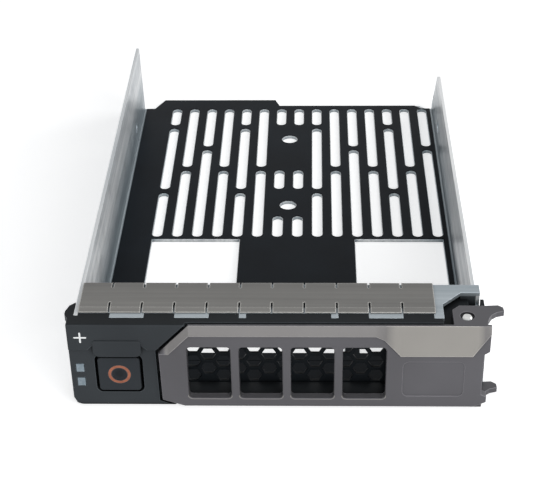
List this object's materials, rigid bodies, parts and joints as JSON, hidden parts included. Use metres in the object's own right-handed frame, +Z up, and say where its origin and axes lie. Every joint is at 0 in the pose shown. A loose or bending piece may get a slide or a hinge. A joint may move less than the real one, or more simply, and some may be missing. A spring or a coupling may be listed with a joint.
{
  "type": "hot swap drive caddy",
  "caption": "Folded steel tray that holds a 3.5 inch drive, with a moulded bezel, vented release handle and sprung push button latch.",
  "frame": {"origin": "on the bay's centre line at the foremost edge of the handle, level with the underside of the tray", "axes": "+X to the right seen from the front, +Y to the rear along the slide direction, +Z up"},
  "size_m": [0.1118, 0.1693, 0.028],
  "materials": {
    "galvanised_steel": "galvanised, faint rolling streaks",
    "rivet_steel": "plain",
    "black_film": "satin film",
    "gasket_alloy": "satin grey",
    "black_plastic": "fine texture",
    "black_grille": "satin",
    "pewter_plastic": "satin metallic paint",
    "pin_steel": "bright",
    "spring_steel": "bright",
    "button_plastic": "satin",
    "orange_ring": "satin",
    "dark_plastic": "matt",
    "latch_plastic": "matt",
    "light_pipe": "frosted clear"
  },
  "bodies": {
    "root": {"tray": "galvanised_steel", "front_bridge": "galvanised_steel", "bridge_rivets": "rivet_steel", "insulator_film": "black_film", "front_film": "black_film", "emi_gasket": "gasket_alloy", "bezel": "black_plastic", "vent_grille": "black_grille", "pivot_pin": "pin_steel", "handle_spring": "spring_steel", "button_spring": "spring_steel", "spring_seat": "dark_plastic", "latch_pin": "pin_steel", "latch_spring": "spring_steel", "latch_cover": "dark_plastic", "light_pipe_activity": "light_pipe", "light_pipe_status": "light_pipe"},
    "handle": {"handle": "pewter_plastic"},
    "button": {"release_button": "button_plastic", "button_ring": "orange_ring"},
    "latch": {"latch_lever": "latch_plastic"}
  },
  "joints": [
    {"name": "handle_swing", "type": "hinge", "parent": "root", "child": "handle", "pos_m": [0.0479, 0.0053, 0.0135], "axis": [0, 0, 1], "range_deg": [0, 45]},
    {"name": "button_press", "type": "slide", "parent": "root", "child": "button", "axis": [0, 1, 0], "range_m": [0, 0.002], "stiffness_N_per_m": 300, "deforming": ["button_spring"]},
    {"name": "latch_swing", "type": "hinge", "parent": "root", "child": "latch", "pos_m": [-0.0322, 0.0135, 0.01075], "axis": [0, 0, 1], "range_deg": [-13.2, 0]}
  ],
  "couplings": [
    {"joint": "latch_swing", "follows": "button_press", "rad_per_m": -112.99}
  ]
}
